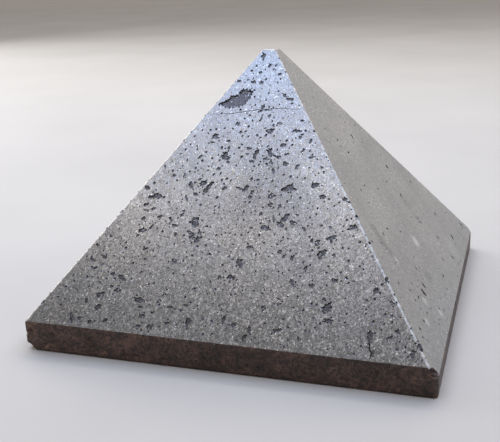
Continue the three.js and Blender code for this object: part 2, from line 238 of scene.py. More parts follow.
# %% Ragged outlines
def ragged_outlines(pits, spokes, ragged, rng):
    """Outlines of pits as one array of u, v points.

    A pit is a row of u, v, length, width and turn in degrees. Its outline is that ellipse with the radius
    times one plus a few cosine waves of the angle round it, each wave smaller than the last, and a little
    jitter.
    """
    angle = np.arange(spokes) / spokes * 2 * np.pi
    wave = np.arange(2, 7)
    size = ragged * rng.normal(0, 0.5, (len(pits), len(wave), 1)) / np.sqrt(wave - 1)[:, None]
    phase = rng.uniform(0, 2 * np.pi, (len(pits), len(wave), 1))
    swell = 1 + np.sum(size * np.cos(wave[:, None] * angle + phase), axis=1)
    swell = np.clip(swell + ragged * rng.uniform(-0.4, 0.4, swell.shape), 0.45, 1.5)
    a = 0.5 * pits[:, 2:3] * swell * np.cos(angle)
    b = 0.5 * pits[:, 3:4] * swell * np.sin(angle)
    turn = np.radians(pits[:, 4:5])
    turned = np.stack([a * np.cos(turn) - b * np.sin(turn), a * np.sin(turn) + b * np.cos(turn)], -1)
    return pits[:, None, :2] + turned


# %% Bowls under the outlines
RIM_RISE = 0.03


def bowls(surface, middle, outline, depth, profile, ragged, rng):
    """Closed bowls, as an array with a row of points for each and the triangles that they all share.

    The profile's rows are a share of the outline and a share of the depth. Each row is the outline drawn in
    towards the middle by the first share, at that depth, with some jitter below the surface. The first row
    stands a little above the surface under a lid, and one point closes the bowl at the bottom.
    """
    count, spokes = outline.shape[:2]
    share, fall = np.array(profile).T
    below = (fall > 0)[:, None]
    jitter = 1 + ragged * below * rng.uniform(-1, 1, (2, count, len(share), spokes))
    from_middle = (outline - middle[:, None])[:, None]
    drawn = middle[:, None, None] + from_middle * (share[:, None] * jitter[0])[..., None]
    height = -depth[:, None, None] * fall[:, None] * jitter[1]
    height[:, 0] = RIM_RISE
    rings = on_surface(surface[:, None, None], drawn, height).reshape(count, -1, 3)
    lid = on_surface(surface, middle, np.full(count, RIM_RISE))[:, None]
    bottom = on_surface(surface, middle, -depth)[:, None]
    points = np.concatenate([rings, lid, bottom], axis=1)
    here = np.arange(spokes)
    there = np.roll(here, -1)
    last = (len(share) - 1) * spokes
    first_row = np.concatenate([
        np.stack([here, here + spokes, there], 1),
        np.stack([there, here + spokes, there + spokes], 1),
    ])
    walls = (first_row + spokes * np.arange(len(share) - 1)[:, None, None]).reshape(-1, 3)
    lid_fan = np.stack([here, there, np.full(spokes, last + spokes)], 1)
    bottom_fan = np.stack([last + there, last + here, np.full(spokes, last + spokes + 1)], 1)
    return points, np.concatenate([walls, lid_fan, bottom_fan])


# %% Taking cutters out of the stone
def layers(points):
    """A layer number for each cutter, so that no two in a layer touch.

    Two cutters may touch where the distance of their middles is less than the sum of their radii. Each
    takes the lowest layer that no earlier cutter near it has taken.
    """
    middle = points.mean(axis=1)
    radius = np.linalg.norm(points - middle[:, None], axis=2).max(axis=1)
    near = np.linalg.norm(middle[:, None] - middle, axis=2) < radius[:, None] + radius
    layer = np.zeros(len(points), int)
    for cutter in range(1, len(points)):
        taken = layer[:cutter][near[cutter, :cutter]]
        layer[cutter] = np.setdiff1d(np.arange(len(taken) + 1), taken)[0]
    return layer


def take_out(points, triangles):
    """Cuts cutters out of the stone for good, a layer at a time, each with its own row of points."""
    layer = layers(points)
    for each in range(layer.max() + 1):
        here = points[layer == each]
        faces = triangles + (np.arange(len(here)) * points.shape[1])[:, None, None]
        cutter = mesh_object("cutter", here.reshape(-1, 3), faces.reshape(-1, 3))
        carve = stone.modifiers.new("carve", "BOOLEAN")
        carve.operation = "DIFFERENCE"
        carve.solver = "MANIFOLD"
        carve.object = cutter
        graph = bpy.context.evaluated_depsgraph_get()
        carved = bpy.data.meshes.new_from_object(stone.evaluated_get(graph))
        stone.modifiers.clear()
        stone.data = carved
        bpy.data.meshes.remove(cutter.data)
    print("cutters:", len(points), "layers:", layer.max() + 1, "faces:", len(stone.data.polygons))


# %% [markdown]
# ## Pits seen and pits guessed
# The front slope's larger pits were read off one by one, each as a place, a size and a turn, and the
# leaf-shaped hollow under the tip by its outline. The other slopes are strewn by the same rule that the
# solid uses, so both have the same pits. The right-hand slope is the smoothest.

# %% Pits of the front slope
# Along the foot, up the slope, length, width, turn in degrees.
FRONT_PITS = [
    [-0.58, 30.28, 0.75, 0.5, 75], [0.3, 29.08, 0.5, 0.4, 60], [0.95, 29.18, 0.36, 0.26, 50],
    [0.83, 28.67, 0.45, 0.32, -30], [1.48, 28.17, 0.5, 0.36, 10], [-0.58, 28.33, 0.42, 0.38, 0],
    [-1.72, 27.43, 0.4, 0.26, 0], [-1.12, 27.23, 0.46, 0.42, 0], [-2.62, 27.28, 0.55, 0.32, 10],
    [-0.27, 27.15, 0.65, 0.32, 70], [2.42, 25.72, 0.75, 0.36, -35], [2.95, 25.35, 0.7, 0.36, -10],
    [3.3, 24.87, 0.32, 0.26, 30], [0.37, 24.33, 0.52, 0.4, 70], [0.83, 24.07, 0.6, 0.22, 10],
    [0.08, 23.87, 0.42, 0.26, 40], [0.42, 23.2, 0.75, 0.3, 70], [1.2, 23.4, 0.42, 0.34, 60],
    [-1.92, 22.4, 0.62, 0.38, 82], [-2.37, 21.83, 0.3, 0.26, 0], [-1.42, 21.48, 0.36, 0.3, 70],
    [1.55, 21.75, 1.0, 0.52, 20], [1.78, 22.38, 0.4, 0.26, 60], [2.38, 22.6, 0.6, 0.32, -12],
    [4.22, 21.83, 0.82, 0.42, 6], [4.7, 21.2, 0.44, 0.36, -30], [4.63, 22.98, 0.46, 0.26, 5],
    [5.82, 20.8, 0.5, 0.36, 80], [-4.05, 20.95, 0.76, 0.66, 60], [-4.25, 20.23, 0.5, 0.24, 0],
    [-2.55, 20.45, 0.6, 0.26, -5], [3.15, 20.25, 0.72, 0.46, 12], [5.17, 19.75, 0.62, 0.3, 55],
    [6.13, 19.08, 0.52, 0.32, 15], [0.28, 21.2, 0.36, 0.34, 0], [-0.32, 19.73, 0.6, 0.36, 8],
    [0.5, 19.1, 1.25, 0.46, 85], [0.22, 18.35, 0.6, 0.32, 8], [1.92, 19.45, 1.05, 0.55, 112],
    [1.62, 20.02, 0.42, 0.32, 100], [2.5, 19.05, 0.62, 0.26, -20], [2.9, 18.9, 0.44, 0.36, 0],
    [3.63, 19.3, 0.52, 0.26, 5], [1.58, 18.7, 0.52, 0.4, 45], [2.17, 18.32, 0.72, 0.32, 110],
    [2.58, 17.45, 0.72, 0.32, 110], [3.67, 18.28, 0.72, 0.46, -20], [4.83, 18.0, 0.56, 0.32, 60],
    [7.3, 18.07, 0.34, 0.32, 0], [-2.58, 18.75, 0.96, 0.86, 30], [-2.17, 18.15, 0.44, 0.32, -20],
    [-3.03, 17.4, 0.52, 0.4, 5], [-3.13, 19.67, 0.42, 0.34, 60], [-2.38, 19.7, 0.42, 0.3, 100],
    [-5.17, 18.62, 0.76, 0.26, 40], [-7.55, 16.4, 0.5, 0.34, 20], [-6.42, 16.4, 0.9, 0.3, 100],
    [-4.75, 16.15, 0.42, 0.32, 20], [-2.0, 16.37, 0.46, 0.24, 40], [0.53, 16.53, 0.5, 0.26, 70],
    [1.22, 16.4, 0.4, 0.32, 0], [6.92, 16.2, 1.02, 0.5, 12], [4.4, 15.72, 1.45, 0.72, 8],
    [-10.17, 14.93, 0.6, 0.46, -20], [-9.05, 14.08, 1.45, 0.6, 4], [-5.57, 15.48, 0.96, 0.46, 125],
    [-4.33, 15.78, 1.0, 0.5, 30], [-3.6, 15.55, 0.82, 0.6, 45], [-3.92, 14.95, 0.62, 0.58, 90],
    [-2.03, 15.37, 0.52, 0.36, 40], [-0.47, 15.4, 0.8, 0.28, -20], [-4.9, 14.53, 0.56, 0.34, 0],
    [-5.75, 14.05, 0.72, 0.28, 110], [-9.88, 13.07, 0.52, 0.4, 40], [-9.75, 12.48, 0.62, 0.28, -10],
    [-9.0, 12.73, 0.52, 0.32, 10], [-9.83, 11.62, 0.66, 0.36, -30], [-8.13, 11.9, 0.56, 0.36, 25],
    [-6.92, 11.7, 0.62, 0.28, 110], [-5.83, 12.28, 0.46, 0.36, 40], [-6.4, 11.13, 0.66, 0.28, -8],
    [-6.08, 10.2, 0.5, 0.4, 80], [-8.8, 10.83, 0.5, 0.34, 50], [-9.67, 10.37, 0.86, 0.5, 30],
    [-10.0, 9.82, 0.5, 0.22, 5], [-4.38, 11.7, 0.95, 0.85, 60], [-4.2, 11.3, 0.72, 0.42, 30],
    [-4.55, 10.45, 0.9, 0.42, -20], [-3.82, 9.8, 0.76, 0.52, 75], [-4.3, 10.0, 0.8, 0.36, -20],
    [-3.67, 10.55, 0.5, 0.32, -30], [-8.87, 8.5, 0.52, 0.34, 10], [-8.72, 7.45, 0.42, 0.3, 30],
    [-13.0, 7.28, 0.46, 0.4, 0], [-14.25, 6.92, 0.7, 0.38, -15], [-13.73, 6.12, 0.52, 0.32, 15],
    [-5.63, 7.5, 0.62, 0.46, -35], [-2.25, 8.5, 0.46, 0.26, 10], [-11.72, 5.67, 0.56, 0.44, 10],
    [-10.65, 5.35, 0.95, 0.46, -18], [-11.55, 4.4, 0.4, 0.36, 0], [-10.88, 4.08, 0.82, 0.42, 10],
    [-12.58, 3.52, 0.86, 0.5, 20], [-13.87, 2.73, 0.46, 0.4, 80], [-12.5, 2.23, 0.96, 0.5, 25],
    [-8.38, 3.37, 1.3, 0.5, -3], [-6.38, 3.4, 0.6, 0.36, 12], [-8.08, 2.67, 0.52, 0.24, -10],
    [-5.92, 4.12, 0.5, 0.22, 20], [-5.17, 2.95, 0.76, 0.24, -5], [-6.72, 2.28, 0.5, 0.24, 25],
    [-7.75, 1.85, 0.62, 0.42, 0], [-5.12, 1.43, 0.56, 0.28, 20], [-7.97, 0.75, 0.72, 0.46, 20],
    [-6.8, 0.85, 0.66, 0.56, 60], [-3.08, 1.65, 1.1, 0.56, 82], [-3.58, 3.28, 0.5, 0.28, 0],
    [-0.17, 3.37, 0.7, 0.28, -50], [-3.08, 4.95, 0.46, 0.26, 20], [-0.83, 6.28, 0.5, 0.36, 0],
    [-15.0, 0.98, 1.0, 0.46, 110], [-14.15, 0.95, 0.6, 0.36, 20], [-13.0, 0.75, 0.46, 0.32, 10],
    [-11.47, 0.98, 0.56, 0.42, 30], [-16.42, 2.0, 0.5, 0.26, -30], [0.17, 15.45, 0.76, 0.5, 60],
    [0.85, 15.1, 0.62, 0.36, 55], [0.7, 14.57, 0.52, 0.4, 10], [2.83, 14.83, 0.76, 0.6, 45],
    [2.87, 14.0, 0.46, 0.42, 0], [3.8, 13.82, 0.56, 0.32, 70], [7.8, 15.1, 0.62, 0.46, -20],
    [9.95, 14.95, 0.5, 0.46, 0], [2.08, 12.95, 0.42, 0.38, 60], [3.45, 12.5, 0.72, 0.28, 110],
    [4.5, 12.65, 1.15, 0.56, 58], [4.15, 12.0, 0.72, 0.5, 5], [5.37, 12.25, 0.76, 0.5, 10],
    [5.67, 13.07, 0.42, 0.24, -30], [2.72, 11.58, 0.96, 0.5, -12], [1.42, 11.45, 0.34, 0.28, 0],
    [6.5, 11.73, 0.5, 0.34, -30], [11.12, 12.23, 0.9, 0.5, 20], [9.25, 11.08, 1.0, 0.42, 15],
    [8.03, 10.5, 0.72, 0.5, 78], [7.42, 10.62, 0.44, 0.4, 0], [8.55, 9.45, 1.15, 0.66, 50],
    [9.67, 9.4, 0.36, 0.32, 0], [1.53, 9.5, 0.6, 0.42, 8], [4.58, 9.32, 0.52, 0.4, 8],
    [5.05, 8.92, 0.44, 0.28, 70], [5.83, 8.82, 0.52, 0.42, 40], [7.25, 7.9, 0.5, 0.36, 100],
    [0.87, 7.92, 0.96, 0.66, -55], [10.08, 7.0, 0.66, 0.46, -15], [14.37, 7.0, 0.42, 0.28, 45],
    [13.92, 6.37, 0.6, 0.5, 60], [6.25, 6.4, 0.8, 0.38, -48], [8.05, 6.33, 0.48, 0.42, 20],
    [0.3, 6.4, 0.76, 0.56, 8], [9.33, 5.2, 0.42, 0.28, 15], [9.75, 4.4, 1.15, 0.76, 55],
    [10.0, 3.23, 0.96, 0.42, 5], [5.3, 4.33, 0.5, 0.24, 5], [3.92, 3.78, 0.52, 0.46, 0],
    [0.33, 2.37, 0.76, 0.42, 80], [1.37, 1.95, 0.52, 0.4, -30], [2.92, 1.62, 0.8, 0.32, 110],
    [5.58, 1.87, 0.72, 0.36, 20], [7.58, 1.32, 0.42, 0.4, 0], [13.87, 2.2, 1.35, 0.5, 98],
    [15.58, 2.28, 0.62, 0.38, 30], [17.75, 1.15, 0.62, 0.46, 30], [16.25, 2.87, 0.6, 0.28, 100],
    [15.42, 5.45, 0.6, 0.28, -30], [2.58, 0.85, 0.7, 0.46, 80], [14.28, 0.75, 0.7, 0.28, 95],
    [-14.08, 8.45, 0.42, 0.28, 10],
]
# The leaf-shaped hollow, point by point, along the foot and up the slope.
LEAF_OUTLINE = [
    (-4.4, 24.6), (-3.6, 24.2), (-2.8, 24.15), (-2.15, 24.35), (-1.55, 24.65), (-1.3, 25.05),
    (-1.2, 25.55), (-1.05, 25.95), (-0.8, 26.3), (-1.3, 26.3), (-2.05, 26.45), (-2.3, 26.05),
    (-2.45, 25.75), (-3.05, 25.6), (-3.4, 25.3), (-3.8, 24.95),
]
LEAF_DEPTH = 0.14
print("pits read off the front:", len(FRONT_PITS) + 1)

# %% Pits strewn over the other slopes
SCATTER_COUNT = {1: 26, 2: 84, 3: 84}
SCATTER_LONGEST = {1: 0.9, 2: 1.5, 3: 1.5}
SCATTER_SEED = {1: 3.1, 2: 7.7, 3: 5.3}
SCATTER_SHORTEST = 0.36
SCATTER_LEAN = 2.2
SCATTER_MARGIN = 0.9
SCATTER_SPACING = 0.25
TRIES = 1500


def chance(seed, index):
    """A number from 0 to 1 that depends only on its seed and index: the fraction of a very large sine."""
    wave = np.sin(seed * 12.9898 + index * 78.233) * 43758.5453
    return wave - np.floor(wave)


def scatter(side):
    """Strewn pits: sizes lean towards the shortest, and a pit too near an earlier one is left out."""
    draw = [chance(SCATTER_SEED[side], 5 * np.arange(TRIES) + part) for part in range(5)]
    length = SCATTER_SHORTEST + draw[0] ** SCATTER_LEAN * (SCATTER_LONGEST[side] - SCATTER_SHORTEST)
    v = draw[1] * slope_length[side]
    u = (2 * draw[2] - 1) * HALF
    pits = np.stack([u, v, length, length * (0.45 + 0.35 * draw[3]), 180 * draw[4]], 1)
    inside = np.abs(u) < HALF * (1 - v / slope_length[side]) - SCATTER_MARGIN - length
    kept = np.empty((0, 5))
    for pit in pits[inside & (v > SCATTER_MARGIN)]:
        apart = np.hypot(*(kept[:, :2] - pit[:2]).T) > (kept[:, 2] + pit[2]) / 2 + SCATTER_SPACING
        if apart.all():
            kept = np.vstack([kept, pit])
    return kept[:SCATTER_COUNT[side]]


slope_pits = [np.array(FRONT_PITS), *[scatter(side) for side in (1, 2, 3)]]
pits = np.concatenate(slope_pits)
pit_side = np.repeat(np.arange(4), [len(found) for found in slope_pits])
print("pits on front, right, back, left:", [len(found) for found in slope_pits])

# %% Crumbled rims
# Grains break out of a pit's rim, so each pit gets a few small ones that overlap its outline.
RIM_CRUMBS = 3
RIM_REACH = (0.36, 0.62)
RIM_SHARE = (0.18, 0.42)
RIM_SIZE = (0.1, 0.38)
RIM_STRETCH = (1.0, 1.7)
SHORTEST_WITH_RIM = 0.45
SEED = 11
rng = np.random.default_rng(SEED)
rim_pits = np.repeat(pits, RIM_CRUMBS, axis=0)
rim_side = np.repeat(pit_side, RIM_CRUMBS)
round_pit = rng.uniform(0, 2 * np.pi, len(rim_pits))
reach = rng.uniform(*RIM_REACH, len(rim_pits))
a, b = reach * rim_pits[:, 2] * np.cos(round_pit), reach * rim_pits[:, 3] * np.sin(round_pit)
turn = np.radians(rim_pits[:, 4])
rim_size = np.clip(rim_pits[:, 3] * rng.uniform(*RIM_SHARE, len(rim_pits)), *RIM_SIZE)
rim_crumbs = np.stack([
    rim_pits[:, 0] + a * np.cos(turn) - b * np.sin(turn),
    rim_pits[:, 1] + a * np.sin(turn) + b * np.cos(turn),
    rim_size * rng.uniform(*RIM_STRETCH, len(rim_pits)),
    rim_size,
    rng.uniform(0, 180, len(rim_pits)),
], 1)
worth = rim_pits[:, 2] > SHORTEST_WITH_RIM
rim_crumbs, rim_side = rim_crumbs[worth], rim_side[worth]
print("rim crumbs:", len(rim_crumbs))

# %% Bowls for all the pits
# A profile's rows are a share of the outline and a share of the depth: steep walls and a wide flat floor.
RAGGED = 0.34
LARGE_PIT = 0.8
PIT_WALL, SPECK_WALL = 0.12, 0.1
DEEP_BOWL = [(1.02, 0.0), (0.95, 0.7), (0.88, 1.0)]
SMALL_BOWL = [(1.04, 0.0), (0.87, 0.9)]
SPECK_BOWL = [(1.35, 0.0)]


def pit_depth(rows):
    """How deep a pit goes: a twentieth of a millimetre and an eighth of its width."""
    return 0.05 + rows[:, 3] / 8


# %% Cutting the leaf-shaped hollow
LEAF_SPOKES = 64
LEAF_SCALE, LEAF_JITTER = 0.95, 0.08
LEAF_WALL = 0.06
LEAF_CRUMB, LEAF_STRETCH = (0.12, 0.32), 1.3
leaf = np.array(LEAF_OUTLINE)
closed = np.vstack([leaf, leaf[:1]])
walk = np.linspace(0, len(leaf), LEAF_SPOKES, endpoint=False)
leaf = np.stack([np.interp(walk, np.arange(len(closed)), closed[:, part]) for part in (0, 1)], 1)
leaf_middle = leaf.mean(axis=0)
uneven = LEAF_SCALE + rng.uniform(-LEAF_JITTER, LEAF_JITTER, (LEAF_SPOKES, 1))
leaf = leaf_middle + (leaf - leaf_middle) * uneven
leaf_bowl = np.array([0]), leaf_middle[None], leaf[None], np.array([LEAF_DEPTH])
take_out(*bowls(*leaf_bowl, DEEP_BOWL, LEAF_WALL, rng))
leaf_rim = leaf[::2]
leaf_crumb = rng.uniform(*LEAF_CRUMB, len(leaf_rim))
leaf_turn = rng.uniform(0, 180, len(leaf_rim))
leaf_crumbs = np.column_stack([leaf_rim, LEAF_STRETCH * leaf_crumb, leaf_crumb, leaf_turn])
rim_crumbs = np.concatenate([rim_crumbs, leaf_crumbs])
rim_side = np.concatenate([rim_side, np.zeros(len(leaf_crumbs), int)])

# %% Cutting the pits and their rims
# The ragged waves widen a pit a little, so its length and width are drawn in first.
SHRINK = np.array([1.0, 1.0, 0.93, 0.93, 1.0])
large = pits[:, 2] >= LARGE_PIT
for which, spokes, profile in [(large, 24, DEEP_BOWL), (~large, 12, SMALL_BOWL)]:
    chosen = pits[which] * SHRINK
    outline = ragged_outlines(chosen, spokes, RAGGED, rng)
    take_out(*bowls(pit_side[which], chosen[:, :2], outline, pit_depth(chosen), profile, PIT_WALL, rng))
outline = ragged_outlines(rim_crumbs, 6, RAGGED, rng)
take_out(*bowls(rim_side, rim_crumbs[:, :2], outline, pit_depth(rim_crumbs), SPECK_BOWL, SPECK_WALL, rng))

# %% [markdown]
# ## Knocks, nicks and hairline cracks
# Hematite is brittle. Its corners lose small scoops, its ridges get nicks, and a crack shows as a fine
# dark line. A scoop is the bite of a lumpy ball, a nick is a smaller one set on a ridge, and a crack is a
# narrow wedge carried along a path on the slope.

# %% Lumpy balls
def lumps(centres, sizes, rows, columns, rough, rng):
    """Closed lumpy balls, as an array with a row of points for each and the triangles that they all share.

    A point is the centre plus the unit ball's point at a polar angle and a turn, times the half sizes and a
    jitter in millimetres added up. The first and last rows close in one point each.
    """
    polar = np.linspace(0, np.pi, rows + 2)[1:-1, None]
    turn = np.arange(columns) / columns * 2 * np.pi
    parts = np.sin(polar) * np.cos(turn), np.sin(polar) * np.sin(turn), np.cos(polar) + 0 * turn
    ball = np.concatenate([np.stack(parts, -1).reshape(-1, 3), UP[None], -UP[None]])
    jitter = rough * rng.uniform(-1, 1, (len(centres), len(ball), 1))
    points = centres[:, None] + (sizes[:, None] + jitter) * ball
    here = np.arange(columns)
    there = np.roll(here, -1)
    last = (rows - 1) * columns
    first_row = np.concatenate([
        np.stack([here, here + columns, there], 1),
        np.stack([there, here + columns, there + columns], 1),
    ])
    walls = (first_row + columns * np.arange(rows - 1)[:, None, None]).reshape(-1, 3)
    top_fan = np.stack([here, there, np.full(columns, rows * columns)], 1)
    bottom_fan = np.stack([last + there, last + here, np.full(columns, rows * columns + 1)], 1)
    return points, np.concatenate([walls, top_fan, bottom_fan])


# %% Knocked corners and nicked ridges
# Where each scoop is centred, then its half sizes.
KNOCKS = np.array([
    [[-21.1, -21.25, -1.5], [3.05, 3.0, 2.9]],
    [[-20.4, -20.2, 1.75], [0.68, 0.62, 0.42]],
    [[-19.35, -20.3, 2.1], [0.5, 0.42, 0.36]],
    [[20.0, -20.15, 2.45], [0.95, 0.8, 0.62]],
    [[20.15, -20.2, 1.4], [0.35, 0.32, 0.42]],
    [[20.3, 6.0, 0.0], [0.6, 1.6, 0.55]],
    [[20.1, 20.1, 2.3], [0.8, 0.9, 0.6]],
    [[7.0, 20.25, -0.05], [1.9, 0.65, 0.6]],
    [[-20.1, 20.1, 0.1], [1.1, 1.2, 0.9]],
    [[-20.25, 3.0, -0.05], [0.6, 1.4, 0.5]],
])
# Ridge number, place from tip to foot, radius.
NICKS = np.array([
    [0, 0.765, 0.42], [0, 0.945, 0.5], [1, 0.35, 0.4], [1, 0.7, 0.5], [2, 0.5, 0.48], [2, 0.86, 0.55],
    [3, 0.62, 0.38],
])
NICK_LIFT = 0.45
KNOCK_ROUGH, NICK_ROUGH = 0.09, 0.07
ridge_end = np.array([ridge[3] for ridge in ridges])
ridge_out = unit(np.array([ridge[0] + ridge[1] for ridge in ridges]))
nicked = NICKS[:, 0].astype(int)
nick_at = APEX + NICKS[:, 1:2] * (ridge_end[nicked] - APEX) + NICK_LIFT * NICKS[:, 2:] * ridge_out[nicked]
take_out(*lumps(KNOCKS[:, 0], KNOCKS[:, 1], 12, 20, KNOCK_ROUGH, rng))
take_out(*lumps(nick_at, np.repeat(NICKS[:, 2:], 3, axis=1), 6, 10, NICK_ROUGH, rng))


# %% Hairline cracks
WANDER = 0.35


def wedge(surface, path, width, depth, steps, rng):
    """A closed wedge along a path on a surface.

    The path is a broken line, walked in even steps with a little wander. At each step the profile has two
    points above the surface and one below it. Its size shrinks to a quarter at both ends, as the root of a
    half sine.
    """
    path = np.array(path)
    walk = np.linspace(0, len(path) - 1, steps)
    line = np.stack([np.interp(walk, np.arange(len(path)), path[:, part]) for part in (0, 1)], 1)
    line = line + rng.normal(0, WANDER * width, line.shape)
    ahead = unit(np.gradient(line, axis=0))
    across = np.stack([-ahead[:, 1], ahead[:, 0]], 1)
    size = 0.25 + 0.75 * np.sqrt(np.sin(np.linspace(0, np.pi, steps)).clip(0))
    side_step = width * size[:, None] * across
    flat = np.stack([line + side_step, line - side_step, line], 1)
    height = np.stack([np.full(steps, depth), np.full(steps, depth), -depth * size], 1)
    points = on_surface(surface, flat, height).reshape(1, -1, 3)
    start = 3 * np.arange(steps - 1)[:, None]
    sides = [(0, 1, 4, 3), (1, 2, 5, 4), (2, 0, 3, 5)]
    quads = np.concatenate([start + np.array(corner) for corner in sides])
    split = np.concatenate([quads[:, [0, 1, 2]], quads[:, [0, 2, 3]]])
    caps = np.array([[0, 2, 1], [3 * steps - 3, 3 * steps - 2, 3 * steps - 1]])
    return points, np.concatenate([split, caps])


# Surface, path, half width, depth, steps.
CRACKS = [
    (0, [(-5.1, 23.37), (-2.83, 23.53), (-0.33, 24.03), (2.0, 24.28), (4.33, 24.2)], 0.07, 0.12, 60),
    (0, [(13.75, 2.9), (14.0, 2.1), (13.9, 1.3), (14.15, 0.7), (14.1, 0.1)], 0.11, 0.15, 20),
]
for crack in CRACKS:
    take_out(*wedge(*crack, rng))

# %% [markdown]
# ## Specks and crumbled edges
# Between the pits lie thousands of specks, most of them thin and leaning the same way, and every edge has
# lost crumbs. They are the same bowls and lumps with very few faces, because nothing about them shows
# except that they are there. Specks keep clear of each other: the largest are placed first, and one that
# would touch a larger one is left out.

# %% Specks
SPECK_COUNT = [2700, 500, 1500, 1500]
SPECK_LENGTH = (0.1, 0.4)
SPECK_FAVOUR_SHORT = 2.8
SPECK_WIDTH = (0.45, 0.9)
SPECK_LEAN, LEAN_SPREAD = 62, 32
SPECK_RAGGED = 0.3
NEAR_PITS = 0.25
SPECK_GAP = 0.62
EDGE_MARGIN, TIP_MARGIN = 0.4, 1.6


def specks(side, rng):
    """Strewn specks on a slope: some drawn evenly over it, the rest near pits, without those that touch."""
    count = SPECK_COUNT[side]
    short = rng.uniform(0, 1, count) ** SPECK_FAVOUR_SHORT
    length = np.sort(SPECK_LENGTH[0] + short * np.ptp(SPECK_LENGTH))[::-1]
    v = slope_length[side] * (1 - np.sqrt(rng.uniform(0.006, 1, count)))
    u = HALF * (1 - v / slope_length[side]) * rng.uniform(-1, 1, count)
    spot = np.stack([u, v], 1)
    host = slope_pits[side][rng.integers(0, len(slope_pits[side]), count), :2]
    near = rng.uniform(0, 1, count) < NEAR_PITS
    spot[near] = (host + rng.normal(0, 1.0, (count, 2)))[near]
    width = length * rng.uniform(*SPECK_WIDTH, count)
    rows = np.column_stack([spot, length, width, rng.normal(SPECK_LEAN, LEAN_SPREAD, count)])
    gap = np.hypot(*(spot[:, None] - spot).transpose(2, 0, 1)) - SPECK_GAP * (length[:, None] + length)
    clear = ~np.tril(gap < 0, -1).any(axis=1)
    room = HALF * (1 - spot[:, 1] / slope_length[side]) - EDGE_MARGIN - np.abs(spot[:, 0])
    below_tip = spot[:, 1] < slope_length[side] - TIP_MARGIN
    inside = (room > 0) & (spot[:, 1] > EDGE_MARGIN) & below_tip
    return rows[clear & inside]


slope_specks = [specks(side, rng) for side in range(4)]
all_specks = np.concatenate(slope_specks)
speck_side = np.repeat(np.arange(4), [len(found) for found in slope_specks])
outline = ragged_outlines(all_specks, 6, SPECK_RAGGED, rng)
take_out(*bowls(speck_side, all_specks[:, :2], outline, pit_depth(all_specks), SPECK_BOWL, SPECK_WALL, rng))
print("specks on front, right, back, left:", [len(found) for found in slope_specks])

# %% Pocks of the band
# The sawn sides have shallow pocks, evenly spaced with a jitter so that none touch.
POCK_SPACING, POCK_ROW_SPACING = 1.3, 0.8
POCK_ROWS = 2
POCK_MARGIN, POCK_FOOT = 1.2, 0.5
POCK_JITTER = 0.3
POCK_SMALLEST, POCK_GROWTH, POCK_FAVOUR_SMALL = 0.16, 0.5, 2.5
POCK_STRETCH, POCK_DEPTH = 1.3, 0.3
columns = int((BASE - 2 * POCK_MARGIN) / POCK_SPACING)
pock_grid = np.arange(columns), np.arange(POCK_ROWS), np.arange(4, 8)
step_along, step_up, pock_side = np.meshgrid(*pock_grid, indexing="ij")
jitter = rng.uniform(-POCK_JITTER, POCK_JITTER, (2, *step_along.shape))
small = rng.uniform(0, 1, step_along.shape) ** POCK_FAVOUR_SMALL
pock_size = POCK_SMALLEST + POCK_GROWTH * small
pocks = np.stack([
    POCK_MARGIN - HALF + (step_along + 0.5 + jitter[0]) * POCK_SPACING,
    POCK_FOOT + (step_up + 0.5 + jitter[1]) * POCK_ROW_SPACING,
    pock_size * POCK_STRETCH,
    pock_size,
    rng.uniform(0, 180, step_along.shape),
], -1).reshape(-1, 5)
outline = ragged_outlines(pocks, 8, SPECK_RAGGED, rng)
pock_depth = POCK_DEPTH * pocks[:, 3]
take_out(*bowls(pock_side.ravel(), pocks[:, :2], outline, pock_depth, SPECK_BOWL, SPECK_WALL, rng))

# %% Crumbs along the edges
# A crumb is a small lump set in the worn line of its edge. The dull edges have lost more of them.
RIDGE_SPACING, DULL_SPACING = 1.6, 0.75
CRUMBS = [(edge, RIDGE_SPACING) for edge in ridges] + [(edge, DULL_SPACING) for edge in dull_edges]
CRUMB_SIZE = (0.1, 0.34)
CRUMB_FAVOUR_SMALL = 2.5
CRUMB_ROUGH = 0.04
CLEAR_START, CLEAR_END = 1.2, 0.8
crumb_at, crumb_size = [], []
for (first, second, start, end, round_start, round_end, _), spacing in CRUMBS:
    bisector = unit(first + second)
    run = end - start
    length = np.linalg.norm(run)
    count = max(2, int(length / spacing))
    share = (np.arange(count) + rng.uniform(0.2, 0.8, count)) / count
    share = share[(share * length > CLEAR_START) & ((1 - share) * length > CLEAR_END)][:, None]
    worn_back = (round_start + share * (round_end - round_start)) * (1 / (first @ bisector) - 1)
    small = rng.uniform(0, 1, share.shape) ** CRUMB_FAVOUR_SMALL
    size = CRUMB_SIZE[0] + small * np.ptp(CRUMB_SIZE)
    lift = size * rng.uniform(0.55, 0.98, share.shape) - worn_back
    shift = 0.3 * size * rng.normal(0, 1, share.shape) * unit(np.cross(run, bisector))
    crumb_at.append(start + share * run + lift * bisector + shift)
    crumb_size.append(size * (0.75 + 0.7 * np.abs(unit(run))))
take_out(*lumps(np.concatenate(crumb_at), np.concatenate(crumb_size), 3, 6, CRUMB_ROUGH, rng))

# %% [markdown]
# ## Which surface is which
# Four surfaces show on the stone: the lapped slopes, the sawn band and underside, the ridges rubbed
# bright by handling, and the raw ore inside every hollow. Each face is matched against the planes that
# the stone was cut by. A face that lies on none of them was broken, or was always a pore.

# %% The finished mesh in metres
PLANE_REACH = 3e-3
SAME_WAY = 0.998
mesh = stone.data
face_normal = np.empty(3 * len(mesh.polygons), np.float32)
face_centre = np.empty(3 * len(mesh.polygons), np.float32)
mesh.polygons.foreach_get("normal", face_normal)
mesh.polygons.foreach_get("center", face_centre)
on_plane = np.abs(face_centre.reshape(-1, 3) @ normals.T - offsets) < PLANE_REACH
lies_on = on_plane & (face_normal.reshape(-1, 3) @ normals.T > SAME_WAY)
kind = np.where(lies_on.any(axis=1), kind_of_plane[lies_on.argmax(axis=1)], BROKEN)
